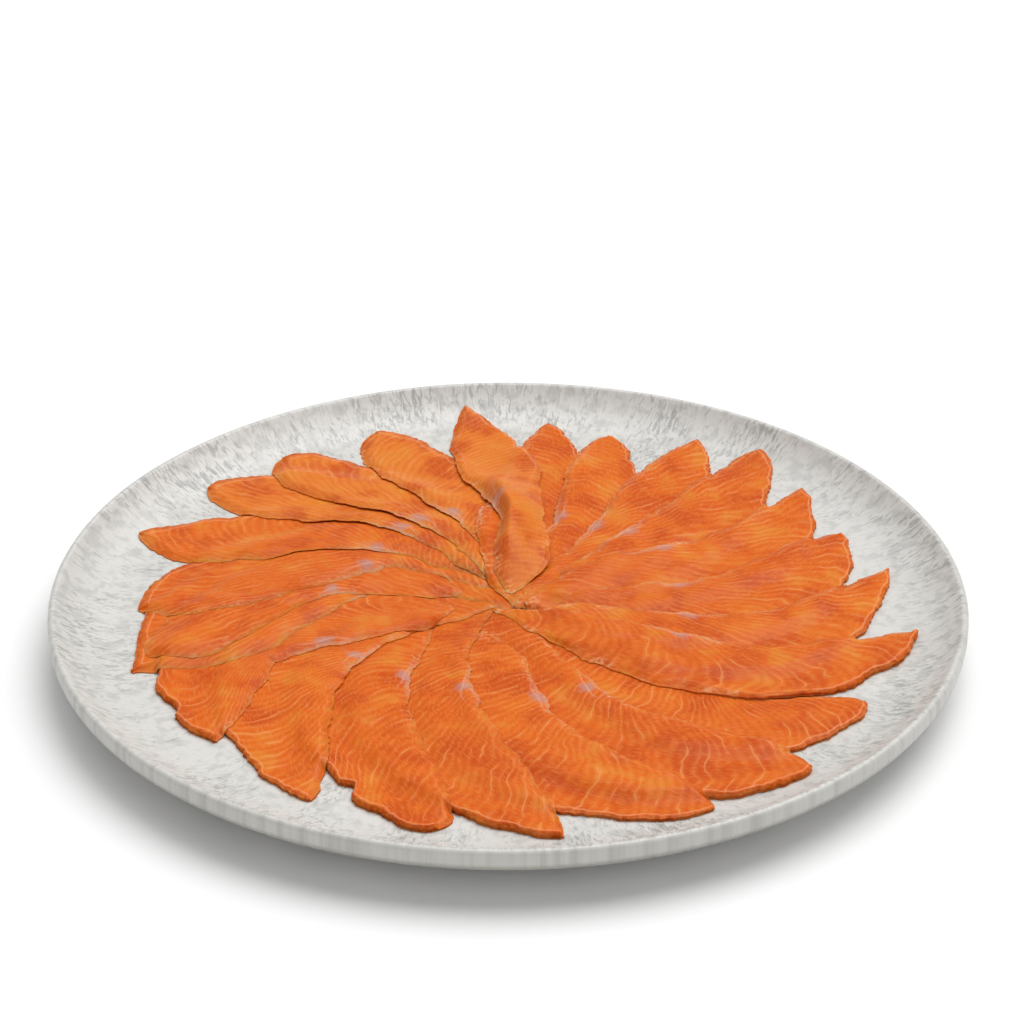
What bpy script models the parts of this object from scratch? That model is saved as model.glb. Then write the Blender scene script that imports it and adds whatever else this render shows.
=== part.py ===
"""Salmon carpaccio on its plate.

Twenty-three thin slices of raw salmon lie on a round stoneware plate as a pinwheel: each
slice starts at the middle, bends clockwise and ends in a tip near the rim, and each one
covers an edge of the slice laid before it. The last slice is pinched into a raised pleat.
Metres, +Z up, the plate's foot on Z = 0 and its axis on Z.
"""

import math

import bmesh
import bpy
import numpy as np

# ---------------------------------------------------------------- plate, metres
PLATE_RADIUS = 0.150
PLATE_HEIGHT = 0.0195
FLOOR_RADIUS = 0.124          # flat part of the well
FLOOR_HEIGHT = 0.0100         # its height over the table
WALL_SLOPE = 43.7             # steepness of the inner wall where it meets the lip, degrees
LIP_ROUND = 0.0015            # radius of the thin lip
LIP_FACE = 0.0026             # height of the upright face under it
LIP_UNDER_ROUND = 0.0040      # radius of that face's lower edge
FLARE_END_RADIUS = 0.1340     # the outside runs straight from the lip to here
FLARE_END_HEIGHT = 0.0067
BELLY_RADIUS = 0.1296         # the outside turns level round this circle
SHOULDER_RADIUS = 0.1200      # where the turn meets the flat underside
SHOULDER_HEIGHT = 0.0042
FOOT_OUTER_RADIUS = 0.0880
FOOT_INNER_RADIUS = 0.0800
FOOT_HEIGHT = 0.0030
PLATE_STEPS = 64

# ---------------------------------------------------------------- slices, metres
SLICE_THICKNESS = 0.0018
GAP = 0.0003                  # air between faces that rest on each other
HUB = (-0.0016, 0.0030)       # the rosette's middle, a little off the plate's
ROOT_REACH = 0.005            # distance of the inner ends from the rosette's middle
ROOT_SHARE = 0.26             # width at the inner end, as a share of the full width
ROOT_THIN = 0.30              # thickness at the inner end, as a share of the full thickness
SWELL_END = 0.45              # where along the slice the full width is reached
TIP_WIDTH = 0.0016            # a slice's narrowest end
ALONG = 13                    # grid cells along a slice
ACROSS = 5                    # grid cells across it

# One row per slice, in the order they are laid. Bearings run counter-clockwise from +X.
#   bearing  direction of the outer tip, degrees
#   reach    distance of the tip from the rosette's middle, mm
#   lag      how far the inner end trails the tip round the middle, degrees
#   bow      sideways bend, mm, and crook, where along the slice it is greatest
#   sway     a second bend that turns the slice into a flat S, mm
#   width    full width, mm
#   taper    where the narrowing towards the tip starts, and point, how sharp it ends
#   short    share of the length missing at the inner end; below zero, it runs on past the middle
#   lift     how far the counter-clockwise edge stands up, mm
SLICES = (
    # bearing reach lag  bow crook sway width taper point short lift
    (-27.5, 128, 75, -31, 0.62, 3, 38, 0.60, 0.50, -0.02, 0.0),
    (-46, 135, 68, -36.5, 0.52, -1, 47, 0.52, 0.50, -0.06, 0.0),
    (-62, 134, 72, -36, 0.50, 1, 41.5, 0.50, 0.55, 0.08, 0.0),
    (-82.5, 134.5, 90, -34, 0.43, 0, 42, 0.45, 0.70, -0.05, 0.0),
    (-98.5, 130, 84, -37, 0.42, 0, 37, 0.40, 0.38, 0.09, 0.0),
    (-117, 127, 76, -41, 0.47, 0, 40, 0.47, 0.65, -0.06, 0.0),
    (-137.5, 120, 75, -36.5, 0.57, 4, 35.5, 0.78, 0.85, 0.10, 0.0),
    (-161, 125, 77, -37, 0.43, -8, 51, 0.72, 1.15, -0.05, 0.0),
    (-163.5, 118.5, 75, -28, 0.55, -8, 31, 0.80, 0.60, 0.08, 0.0),
    (181, 120, 75, -33, 0.45, -8, 41.5, 0.76, 0.75, 0.03, 0.0),
    (160, 132.5, 75, -24.5, 0.50, -9, 36, 0.67, 0.66, 0.08, 0.4),
    (143, 130, 75, -25.5, 0.49, -3, 34.5, 0.78, 0.66, 0.05, 0.5),
    (128, 128.5, 72, -16, 0.50, -5, 29.5, 0.84, 0.45, -0.03, 0.6),
    (111, 129.5, -20, -17, 0.45, -5, 30, 0.74, 0.50, 0.08, 0.5),
    (83, 128.5, 75, -1, 0.50, 2, 36, 0.34, 0.60, -0.04, 0.0),
    (72.5, 125, 75, -12, 0.52, -3, 32, 0.40, 0.52, -0.02, 0.0),
    (58.5, 133, 75, -12, 0.52, -3, 33, 0.52, 0.62, -0.01, 0.0),
    (48.5, 137.5, 75, -15, 0.50, -1, 33.5, 0.50, 0.52, 0.09, 0.0),
    (37, 130.5, 75, -21.5, 0.57, 1, 35.5, 0.45, 0.68, 0.03, 0.0),
    (22.5, 125, 75, -29.5, 0.54, -1, 41, 0.50, 0.64, 0.08, 0.0),
    (10, 131, 76, -37, 0.53, 1, 38, 0.42, 0.78, 0.01, 0.0),
    (-8, 135.5, 75, -30, 0.55, 2, 30, 0.64, 0.62, -0.03, 0.0),
)
FOLDED_SLICE = (96, 136.5, 25, -10, 0.45, -1, 29, 0.62, 0.72, 0.01, 0.6)
PLEAT_HEIGHT = 0.0070
PLEAT_PLACE = 0.35            # across the slice, from the spine towards its counter-clockwise edge
PLEAT_SPREAD = 0.90           # half-width of the pleat, as a share of the half-width
PLEAT_MIDDLE = 0.38           # along the slice
PLEAT_LENGTH = 0.32
WAIST = 0.45                  # how much narrower the folded slice is where it is pinched
LIFT_MIDDLE = 0.55
LIFT_LENGTH = 0.30

# ---------------------------------------------------------------- support raster
CELL = 0.001
RASTER_HALF = 0.151
RASTER_MARGIN = 0.0001        # for the flats between the plate's turned steps
SWEEPS = 80

COLLECTION = "salmon_carpaccio"


def clear_scene():
    for old in list(bpy.data.objects):
        bpy.data.objects.remove(old, do_unlink=True)


def make_material(name, colour, roughness):
    material = bpy.data.materials.new(name)
    material.use_nodes = True
    shader = material.node_tree.nodes["Principled BSDF"]
    shader.inputs["Base Color"].default_value = (*colour, 1.0)
    shader.inputs["Roughness"].default_value = roughness
    shader.inputs["Metallic"].default_value = 0.0
    return material


def add_object(name, mesh, material, collection):
    made = bpy.data.objects.new(name, mesh)
    made.data.materials.append(material)
    collection.objects.link(made)
    return made


# ---------------------------------------------------------------- plate
def arc(centre, radii, start, end, steps):
    """Points on an ellipse's arc in the profile plane, angles in degrees."""
    angles = [math.radians(start + (end - start) * i / steps) for i in range(steps + 1)]
    return [(centre[0] + radii[0] * math.cos(a), centre[1] + radii[1] * math.sin(a)) for a in angles]


def bend(start, corner, end, steps):
    """Points on a curve that rounds off the corner between two straight runs."""
    points = []
    for i in range(steps + 1):
        t = i / steps
        a, b, c = (1 - t) ** 2, 2 * t * (1 - t), t * t
        points.append((a * start[0] + b * corner[0] + c * end[0], a * start[1] + b * corner[1] + c * end[1]))
    return points


def lip_centre():
    return PLATE_RADIUS - LIP_ROUND, PLATE_HEIGHT - LIP_ROUND


def inner_profile():
    """The side that food lies on, from the middle out to the lip's inner edge."""
    slope = math.radians(WALL_SLOPE)
    centre = lip_centre()
    wall_end = (centre[0] - LIP_ROUND * math.sin(slope), centre[1] + LIP_ROUND * math.cos(slope))
    corner = (wall_end[0] - (wall_end[1] - FLOOR_HEIGHT) / math.tan(slope), FLOOR_HEIGHT)
    wall = bend((FLOOR_RADIUS, FLOOR_HEIGHT), corner, wall_end, 5)
    return [(0.0, FLOOR_HEIGHT), (FLOOR_RADIUS * 0.6, FLOOR_HEIGHT)] + wall


def plate_profile():
    """The whole section, from the axis over the lip and back under to the axis."""
    lip = arc(lip_centre(), (LIP_ROUND, LIP_ROUND), 90 + WALL_SLOPE, 0, 4)
    under_centre = (PLATE_RADIUS - LIP_UNDER_ROUND, PLATE_HEIGHT - LIP_ROUND - LIP_FACE)
    under_lip = arc(under_centre, (LIP_UNDER_ROUND, LIP_UNDER_ROUND), 0, -60, 2)
    flare_end = (FLARE_END_RADIUS, FLARE_END_HEIGHT)
    belly = bend(flare_end, (BELLY_RADIUS, SHOULDER_HEIGHT), (SHOULDER_RADIUS, SHOULDER_HEIGHT), 2)
    foot = [
        (FOOT_OUTER_RADIUS + FOOT_HEIGHT / 2, FOOT_HEIGHT + 0.0008),
        (FOOT_OUTER_RADIUS, 0.0),
        (FOOT_INNER_RADIUS, 0.0),
        (FOOT_INNER_RADIUS - FOOT_HEIGHT / 2, FOOT_HEIGHT),
        (0.0, FOOT_HEIGHT),
    ]
    return inner_profile() + lip[1:] + under_lip + belly + foot


def make_plate(collection):
    """The plate is one turned body: its section swept once round the axis."""
    section = plate_profile()
    mesh = bpy.data.meshes.new("plate")
    mesh.from_pydata([(r, 0.0, z) for r, z in section], [(i, i + 1) for i in range(len(section) - 1)], [])
    plate = add_object("plate", mesh, make_material("speckled_stoneware", (0.72, 0.71, 0.69), 0.35), collection)
    turn = plate.modifiers.new("turn", "SCREW")
    turn.axis = "Z"
    turn.angle = math.radians(360)
    turn.steps = PLATE_STEPS
    turn.render_steps = PLATE_STEPS
    turn.use_merge_vertices = True
    turn.merge_threshold = 0.00001
    turn.use_smooth_shade = True
    return plate


# ---------------------------------------------------------------- what a slice rests on
def raster_axis():
    return np.arange(-RASTER_HALF, RASTER_HALF + CELL / 2, CELL)


def plate_support():
    """Height of the plate's upper side over a raster of the whole plate."""
    axis = raster_axis()
    x, y = np.meshgrid(axis, axis)
    turned_flat = 1.0 / math.cos(math.pi / PLATE_STEPS)
    radius = np.hypot(x, y) * turned_flat + RASTER_MARGIN
    profile = inner_profile()
    return np.interp(radius, [r for r, z in profile], [z for r, z in profile])


def cells_in_triangles(points, triangles):
    """The raster's own points under each triangle: the triangle, the weights of its corners, row and column."""
    found = []
    for index, corners in enumerate(triangles):
        a, b, c = points[corners]
        low = np.floor((np.minimum(np.minimum(a, b), c) + RASTER_HALF) / CELL).astype(int)
        high = np.ceil((np.maximum(np.maximum(a, b), c) + RASTER_HALF) / CELL).astype(int)
        columns, rows = np.meshgrid(np.arange(low[0], high[0] + 1), np.arange(low[1], high[1] + 1))
        x = columns.ravel() * CELL - RASTER_HALF
        y = rows.ravel() * CELL - RASTER_HALF
        area = (b[0] - a[0]) * (c[1] - a[1]) - (c[0] - a[0]) * (b[1] - a[1])
        second = ((x - a[0]) * (c[1] - a[1]) - (c[0] - a[0]) * (y - a[1])) / area
        third = ((b[0] - a[0]) * (y - a[1]) - (x - a[0]) * (b[1] - a[1])) / area
        weights = np.stack([1.0 - second - third, second, third], 1)
        inside = weights.min(1) >= 0
        found.append((np.full(inside.sum(), index), weights[inside], rows.ravel()[inside], columns.ravel()[inside]))
    return [np.concatenate(part) for part in zip(*found)]


def spread_in_triangles(points, triangles):
    """Points about one cell apart all over each triangle, edges and corners with them."""
    found = []
    for index, corners in enumerate(triangles):
        a, b, c = points[corners]
        longest = max(np.hypot(*(b - a)), np.hypot(*(c - b)), np.hypot(*(a - c)))
        steps = max(1, math.ceil(longest / CELL))
        second, third = np.meshgrid(np.arange(steps + 1), np.arange(steps + 1))
        keep = second + third <= steps
        weights = np.stack([steps - second[keep] - third[keep], second[keep], third[keep]], 1) / steps
        found.append((np.full(len(weights), index), weights, weights @ np.array([a, b, c])))
    return [np.concatenate(part) for part in zip(*found)]


def height_at(support, places):
    """The raster read between its points."""
    position = (places + RASTER_HALF) / CELL
    corner = np.floor(position).astype(int)
    part = position - corner
    column, row = corner.T
    across, up = part.T
    lower = support[row, column] * (1 - across) + support[row, column + 1] * across
    upper = support[row + 1, column] * (1 - across) + support[row + 1, column + 1] * across
    return lower * (1 - up) + upper * up


# ---------------------------------------------------------------- slices
def slice_outline(row, along):
    """Spine points, sideways directions and half-widths at the given shares of the length."""
    bearing, reach, lag, bow, crook, sway, width, taper, point = row[:9]
    tip = np.array([math.cos(math.radians(bearing)), math.sin(math.radians(bearing))]) * reach * 0.001
    root = np.array([math.cos(math.radians(bearing - lag)), math.sin(math.radians(bearing - lag))]) * ROOT_REACH
    run = tip - root
    left = np.array([-run[1], run[0]]) / np.hypot(*run)
    skew = math.log(0.5) / math.log(crook)

    def spine(share):
        turn = math.pi * np.sign(share) * np.abs(share) ** skew
        bend = bow * 0.001 * np.sin(turn) + sway * 0.001 * np.sin(2 * turn)
        return HUB + root + share[:, None] * run + bend[:, None] * left

    step = 0.004
    ahead = spine(np.minimum(along + step, 1.0)) - spine(along - step)
    ahead /= np.hypot(ahead[:, 0], ahead[:, 1])[:, None]
    sideways = np.stack([-ahead[:, 1], ahead[:, 0]], 1)
    swell = ROOT_SHARE + (1 - ROOT_SHARE) * np.sin(math.pi / 2 * np.clip(along / SWELL_END, 0.0, 1.0))
    narrowing = np.clip((along - taper) / (1 - taper), 0.0, 1.0)
    half_width = width * 0.0005 * swell * (1 - narrowing ** 2) ** point
    return spine(along), sideways, np.maximum(half_width, TIP_WIDTH / 2)


def bump(share, middle, length):
    """A smooth hump from 0 to 1 and back."""
    return np.cos(math.pi / 2 * np.clip((share - middle) / length, -1.0, 1.0)) ** 2


def slice_places(row, pleated):
    """Plan position and wanted extra height of each grid vertex, row by row along the slice."""
    even = np.linspace(0.0, 1.0, ALONG + 1)
    along = row[9] + (1 - row[9]) * (even - 0.05 * np.sin(2 * math.pi * even))
    spine, sideways, half_width = slice_outline(row, along)
    if pleated:
        half_width = half_width * (1 - WAIST * bump(along, PLEAT_MIDDLE, PLEAT_LENGTH))
    across = np.linspace(-1.0, 1.0, ACROSS + 1)
    plan = spine[:, None, :] + sideways[:, None, :] * (half_width[:, None] * across)[:, :, None]
    lift = row[10] * 0.001 * bump(along, LIFT_MIDDLE, LIFT_LENGTH)[:, None] * np.clip(across, 0.0, 1.0) ** 2
    if pleated:
        ridge = bump(across, PLEAT_PLACE, PLEAT_SPREAD)
        lift = lift + PLEAT_HEIGHT * bump(along, PLEAT_MIDDLE, PLEAT_LENGTH)[:, None] * ridge
    thin = ROOT_THIN + (1 - ROOT_THIN) * np.sin(math.pi / 2 * np.clip(along / SWELL_END, 0.0, 1.0))
    thickness = np.repeat(SLICE_THICKNESS * thin, ACROSS + 1)
    return plan.reshape(-1, 2), lift.ravel(), thickness


def settle(plan, triangles, support):
    """Let a sheet fall onto what lies below it: every facet stays clear of it by the gap."""
    index, weights, places = spread_in_triangles(plan, triangles)
    corners = triangles[index]
    needed = height_at(support, places) + GAP
    height = np.full(len(plan), needed.max())
    share = 3 * np.maximum(weights, 0.01)
    for sweep in range(SWEEPS):
        spare = (weights * height[corners]).sum(1) - needed
        fall = np.full(len(plan), 1.0)
        np.minimum.at(fall, corners.ravel(), (spare[:, None] / share).ravel())
        height -= np.maximum(fall, 0.0)
    return height


def cover(support, plan, upper, triangles):
    """Lay a sheet's upper side, and the cells that its rim crosses, over the raster."""
    index, weights, rows, columns = cells_in_triangles(plan, triangles)
    layer = np.full(support.shape, -1.0)
    np.maximum.at(layer, (rows, columns), (weights * upper[triangles[index]]).sum(1))
    index, weights, places = spread_in_triangles(plan, triangles)
    crossed = np.full(support.shape, -1.0)
    column, row = np.floor((places + RASTER_HALF) / CELL).astype(int).T
    tops = (weights * upper[triangles[index]]).sum(1)
    for right in (0, 1):
        for up in (0, 1):
            np.maximum.at(crossed, (row + up, column + right), tops)
    layer = np.where(layer < 0, crossed, layer)
    np.maximum(support, layer, out=support)


def make_slice(name, row, pleated, support, collection, material):
    """A grid bent to the slice's outline, settled on the ones below and raised to its thickness."""
    shape = bmesh.new()
    bmesh.ops.create_grid(shape, x_segments=ACROSS, y_segments=ALONG, size=1.0)
    bmesh.ops.triangulate(shape, faces=shape.faces[:], quad_method="FIXED")
    shape.verts.ensure_lookup_table()
    plan, lift, thickness = slice_places(row, pleated)
    triangles = np.array([[vertex.index for vertex in face.verts] for face in shape.faces])
    height = settle(plan, triangles, support) + lift
    cover(support, plan, height + thickness, triangles)
    depth = shape.verts.layers.float.new("depth")
    for vertex, (x, y), z, thick in zip(shape.verts, plan, height, thickness):
        vertex.co = (x, y, z)
        vertex[depth] = thick
    raised = bmesh.ops.extrude_face_region(shape, geom=shape.faces[:], use_keep_orig=True)
    for vertex in [item for item in raised["geom"] if isinstance(item, bmesh.types.BMVert)]:
        vertex.co.z += vertex[depth]
    bmesh.ops.recalc_face_normals(shape, faces=shape.faces[:])
    mesh = bpy.data.meshes.new(name)
    shape.to_mesh(mesh)
    shape.free()
    return add_object(name, mesh, material, collection)


def main():
    clear_scene()
    collection = bpy.data.collections.new(COLLECTION)
    bpy.context.scene.collection.children.link(collection)
    make_plate(collection)
    support = plate_support()
    for number, row in enumerate(SLICES, start=1):
        name = f"salmon_slice_{number:02d}"
        flesh = make_material(name, (0.74, 0.16, 0.035), 0.32)
        make_slice(name, row, False, support, collection, flesh)
    flesh = make_material("salmon_slice_folded", (0.74, 0.18, 0.045), 0.32)
    make_slice("salmon_slice_folded", FOLDED_SLICE, True, support, collection, flesh)


main()
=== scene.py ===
# %% [markdown]
# # Salmon carpaccio on its plate
# Twenty-three thin slices of raw salmon lie on a speckled stoneware plate like the blades of a
# pinwheel. A cook lays them one after another round the plate, so each one covers an edge of the
# one before it. This lesson builds the finished look: a turned plate with a reactive glaze, and
# slices that really rest on each other, with the marbling of the fish on them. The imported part
# comes in first, because it holds the true sizes and places.

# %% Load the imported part
import math

import bpy
import numpy as np
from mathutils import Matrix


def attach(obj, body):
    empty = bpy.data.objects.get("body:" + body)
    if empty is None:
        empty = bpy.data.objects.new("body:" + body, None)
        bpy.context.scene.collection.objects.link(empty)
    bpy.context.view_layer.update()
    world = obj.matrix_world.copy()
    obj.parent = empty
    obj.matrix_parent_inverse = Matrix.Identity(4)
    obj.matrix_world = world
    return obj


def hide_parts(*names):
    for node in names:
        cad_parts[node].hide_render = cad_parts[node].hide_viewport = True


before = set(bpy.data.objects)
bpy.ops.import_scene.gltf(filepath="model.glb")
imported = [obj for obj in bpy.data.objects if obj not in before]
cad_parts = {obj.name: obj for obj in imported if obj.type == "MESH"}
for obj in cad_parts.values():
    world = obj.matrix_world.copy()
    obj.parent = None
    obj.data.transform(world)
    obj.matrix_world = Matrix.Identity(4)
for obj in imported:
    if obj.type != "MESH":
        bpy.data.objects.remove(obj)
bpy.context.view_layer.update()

MM = 0.001

# %% [markdown]
# ## Two small helpers
# Colours are chosen as sRGB hex codes, the way a paint chart gives them, but shaders add up
# light, so one function turns a code into linear values. A second one adds a shader node: its
# settings are named, and each input is either a value or the output of an earlier node.

# %% Colours and nodes
def linear(code):
    parts = [int(code[i:i + 2], 16) / 255 for i in (1, 3, 5)]
    return (*[p / 12.92 if p <= 0.04045 else ((p + 0.055) / 1.055) ** 2.4 for p in parts], 1.0)


def add(tree, kind, inputs, **settings):
    made = tree.nodes.new("ShaderNode" + kind)
    for name, value in settings.items():
        setattr(made, name, value)
    for socket, value in inputs.items():
        if isinstance(value, bpy.types.NodeSocket):
            tree.links.new(value, made.inputs[socket])
        else:
            made.inputs[socket].default_value = value
    return made


def new_material(name):
    material = bpy.data.materials.new(name)
    material.use_nodes = True
    tree = material.node_tree
    tree.nodes.clear()
    return material, tree


print("raw salmon orange, linear:", [round(v, 3) for v in linear("#de6e33")])

# %% [markdown]
# ## The plate's section
# A plate is thrown or jiggered on a wheel, so one half section says everything about its form:
# a flat well whose side sweeps up without a crease, a thin round lip that rolls under, a
# curved outside and a foot ring. Arcs and rounded corners make it up, with enough points to
# look smooth in the lip's shine.

# %% Section of the plate
PLATE_RADIUS, PLATE_HEIGHT = 150 * MM, 19.5 * MM
WELL_RADIUS, WELL_HEIGHT = 124 * MM, 10 * MM
WALL_SLOPE = 43.7
LIP_ROUND, LIP_FACE, LIP_UNDER_ROUND = 1.5 * MM, 2.6 * MM, 4.0 * MM
UNDER_TURN = 60                          # how far the lip rolls under, degrees
FLARE_END, BELLY_RADIUS = (134.0 * MM, 6.7 * MM), 129.6 * MM
SHOULDER_RADIUS, SHOULDER_HEIGHT = 120 * MM, 4.2 * MM
FOOT_OUTER, FOOT_INNER, FOOT_HEIGHT, FOOT_EDGE = 88 * MM, 80 * MM, 3 * MM, 0.5 * MM
AXIS_HOLE, RING_STEP = 2, 7              # the flat well has a ring of vertices every 7 mm


def arc(centre, radius, start, end, steps):
    turn = np.radians(np.linspace(start, end, steps + 1))
    return np.stack([centre[0] + radius * np.cos(turn), centre[1] + radius * np.sin(turn)], 1)


def rounded(start, corner, end, steps):
    t = np.linspace(0, 1, steps + 1)[:, None]
    return (1 - t) ** 2 * np.array(start) + 2 * t * (1 - t) * np.array(corner) + t * t * np.array(end)


def lip_section():
    centre = (PLATE_RADIUS - LIP_ROUND, PLATE_HEIGHT - LIP_ROUND)
    return arc(centre, LIP_ROUND, 90 + WALL_SLOPE, 0, 12)


def well_section():
    end = lip_section()[0]
    corner = (end[0] - (end[1] - WELL_HEIGHT) / math.tan(math.radians(WALL_SLOPE)), WELL_HEIGHT)
    flat = [(r * MM, WELL_HEIGHT) for r in range(AXIS_HOLE, round(WELL_RADIUS / MM), RING_STEP)]
    return np.concatenate([flat, rounded((WELL_RADIUS, WELL_HEIGHT), corner, end, 18)])


def outer_section():
    under_centre = (PLATE_RADIUS - LIP_UNDER_ROUND, PLATE_HEIGHT - LIP_ROUND - LIP_FACE)
    under = arc(under_centre, LIP_UNDER_ROUND, 0, -UNDER_TURN, 10)
    steps = np.linspace(0, 1, 7)[1:-1, None]
    flare = under[-1] * (1 - steps) + np.array(FLARE_END) * steps
    belly = rounded(FLARE_END, (BELLY_RADIUS, SHOULDER_HEIGHT), (SHOULDER_RADIUS, SHOULDER_HEIGHT), 7)
    foot = [(FOOT_OUTER + 3 * MM, FOOT_HEIGHT + 1 * MM), (FOOT_OUTER + 0.7 * MM, FOOT_HEIGHT * 0.8),
            (FOOT_OUTER, FOOT_EDGE), (FOOT_OUTER - FOOT_EDGE, 0.0), (FOOT_INNER + FOOT_EDGE, 0.0),
            (FOOT_INNER, FOOT_EDGE), (FOOT_INNER - FOOT_HEIGHT / 2, FOOT_HEIGHT),
            (AXIS_HOLE * MM, FOOT_HEIGHT)]
    return np.concatenate([lip_section()[1:], under, flare, belly, foot])


section = np.concatenate([well_section(), outer_section()])
print("section points:", len(section), "lip height mm:", round(section[:, 1].max() / MM, 2))

# %% [markdown]
# ## Turning the plate
# A lathe would turn a perfect ring, and a Screw modifier does the same. This lip was finished
# by hand with a sponge, so the ring is written as a grid instead: each point of the section goes
# round in many steps, and lets its radius and height wander by a fraction of a millimetre near
# the lip. The wandering only ever takes away, so the plate keeps its outer size.

# %% Turn the section into a mesh
PLATE_STEPS = 288
# waves round the lip: how many to a turn, their size, and where they start
LIP_WAVES = ((2, 0.5, 0.4), (3, 0.35, 2.0), (7, 0.2, 1.1), (13, 0.1, 4.0))
LIP_WANDER, LIP_DIP = 0.22 * MM, 0.15 * MM
WANDER_FROM, WANDER_OVER, WANDER_ABOVE = 125 * MM, 20 * MM, 8 * MM


def mesh_from(name, points, faces):
    mesh = bpy.data.meshes.new(name)
    mesh.vertices.add(len(points))
    mesh.vertices.foreach_set("co", np.asarray(points, np.float32).ravel())
    corners = [corner for face in faces for corner in face]
    sizes = [len(face) for face in faces]
    mesh.loops.add(len(corners))
    mesh.loops.foreach_set("vertex_index", corners)
    mesh.polygons.add(len(faces))
    mesh.polygons.foreach_set("loop_start", np.concatenate([[0], np.cumsum(sizes)[:-1]]))
    mesh.polygons.foreach_set("use_smooth", [True] * len(faces))
    mesh.update(calc_edges=True)
    mesh.validate()
    return mesh


def turned_plate():
    turn = np.linspace(0, 2 * math.pi, PLATE_STEPS, endpoint=False)
    uneven = sum(size * np.sin(count * turn + phase) for count, size, phase in LIP_WAVES)
    most = sum(size for count, size, phase in LIP_WAVES)
    near_lip = np.clip((section[:, 0] - WANDER_FROM) / WANDER_OVER, 0, 1) * (section[:, 1] > WANDER_ABOVE)
    near_lip = near_lip[:, None]
    radius = section[:, :1] + LIP_WANDER * (uneven - most) * near_lip
    dip = LIP_DIP * (np.roll(uneven, 40) - most) * near_lip
    height = np.repeat(section[:, 1:], PLATE_STEPS, 1) + dip
    points = np.stack([radius * np.cos(turn), radius * np.sin(turn), height], -1).reshape(-1, 3)
    faces = []
    for i in range(len(section) - 1):
        for j in range(PLATE_STEPS):
            k = (j + 1) % PLATE_STEPS
            faces.append((i * PLATE_STEPS + j, i * PLATE_STEPS + k,
                          (i + 1) * PLATE_STEPS + k, (i + 1) * PLATE_STEPS + j)[::-1])
    last = (len(section) - 1) * PLATE_STEPS
    faces.append(tuple(range(PLATE_STEPS)))
    faces.append(tuple(reversed(range(last, last + PLATE_STEPS))))
    return mesh_from("plate_turned", points, faces)


plate = bpy.data.objects.new("plate_turned", turned_plate())
bpy.context.scene.collection.objects.link(plate)
print("plate faces:", len(plate.data.polygons))

# %% [markdown]
# ## The slices, as laid
# Each slice is described the way a cook would: where its tip points and how far it reaches, how
# it bends and how wide it was cut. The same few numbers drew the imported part, so the fine slices
# lie exactly where the plain ones do. A slice starts near the middle, swells, and narrows to
# its tip.

# %% Slices in the order they are laid
# tip bearing, reach mm, how far the root trails, bow mm, where it bows most, sway mm, width mm,
# where the tip starts to narrow, how bluntly, share missing at the root, lifted edge mm
SLICES = (
    (-27.5, 128, 75, -31, 0.62, 3, 38, 0.60, 0.50, -0.02, 0.0),
    (-46, 135, 68, -36.5, 0.52, -1, 47, 0.52, 0.50, -0.06, 0.0),
    (-62, 134, 72, -36, 0.50, 1, 41.5, 0.50, 0.55, 0.08, 0.0),
    (-82.5, 134.5, 90, -34, 0.43, 0, 42, 0.45, 0.70, -0.05, 0.0),
    (-98.5, 130, 84, -37, 0.42, 0, 37, 0.40, 0.38, 0.09, 0.0),
    (-117, 127, 76, -41, 0.47, 0, 40, 0.47, 0.65, -0.06, 0.0),
    (-137.5, 120, 75, -36.5, 0.57, 4, 35.5, 0.78, 0.85, 0.10, 0.0),
    (-161, 125, 77, -37, 0.43, -8, 51, 0.72, 1.15, -0.05, 0.0),
    (-163.5, 118.5, 75, -28, 0.55, -8, 31, 0.80, 0.60, 0.08, 0.0),
    (181, 120, 75, -33, 0.45, -8, 41.5, 0.76, 0.75, 0.03, 0.0),
    (160, 132.5, 75, -24.5, 0.50, -9, 36, 0.67, 0.66, 0.08, 0.4),
    (143, 130, 75, -25.5, 0.49, -3, 34.5, 0.78, 0.66, 0.05, 0.5),
    (128, 128.5, 72, -16, 0.50, -5, 29.5, 0.84, 0.45, -0.03, 0.6),
    (111, 129.5, -20, -17, 0.45, -5, 30, 0.74, 0.50, 0.08, 0.5),
    (83, 128.5, 75, -1, 0.50, 2, 36, 0.34, 0.60, -0.04, 0.0),
    (72.5, 125, 75, -12, 0.52, -3, 32, 0.40, 0.52, -0.02, 0.0),
    (58.5, 133, 75, -12, 0.52, -3, 33, 0.52, 0.62, -0.01, 0.0),
    (48.5, 137.5, 75, -15, 0.50, -1, 33.5, 0.50, 0.52, 0.09, 0.0),
    (37, 130.5, 75, -21.5, 0.57, 1, 35.5, 0.45, 0.68, 0.03, 0.0),
    (22.5, 125, 75, -29.5, 0.54, -1, 41, 0.50, 0.64, 0.08, 0.0),
    (10, 131, 76, -37, 0.53, 1, 38, 0.42, 0.78, 0.01, 0.0),
    (-8, 135.5, 75, -30, 0.55, 2, 30, 0.64, 0.62, -0.03, 0.0),
    (96, 136.5, 25, -10, 0.45, -1, 29, 0.62, 0.72, 0.01, 0.6),
)
HUB = np.array([-1.6, 3.0]) * MM
ROOT_REACH, ROOT_SHARE, ROOT_THIN, SWELL_END, TIP_WIDTH = 5 * MM, 0.26, 0.30, 0.45, 1.6 * MM
PLEAT_MIDDLE, PLEAT_LENGTH, WAIST = 0.38, 0.32, 0.45
LOOK_AHEAD = 0.004                       # share of the length over which the spine's direction is read
names = [f"salmon_slice_{n:02d}" for n in range(1, 23)] + ["salmon_slice_folded"]


def towards(bearing, reach):
    return np.array([math.cos(math.radians(bearing)), math.sin(math.radians(bearing))]) * reach


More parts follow.
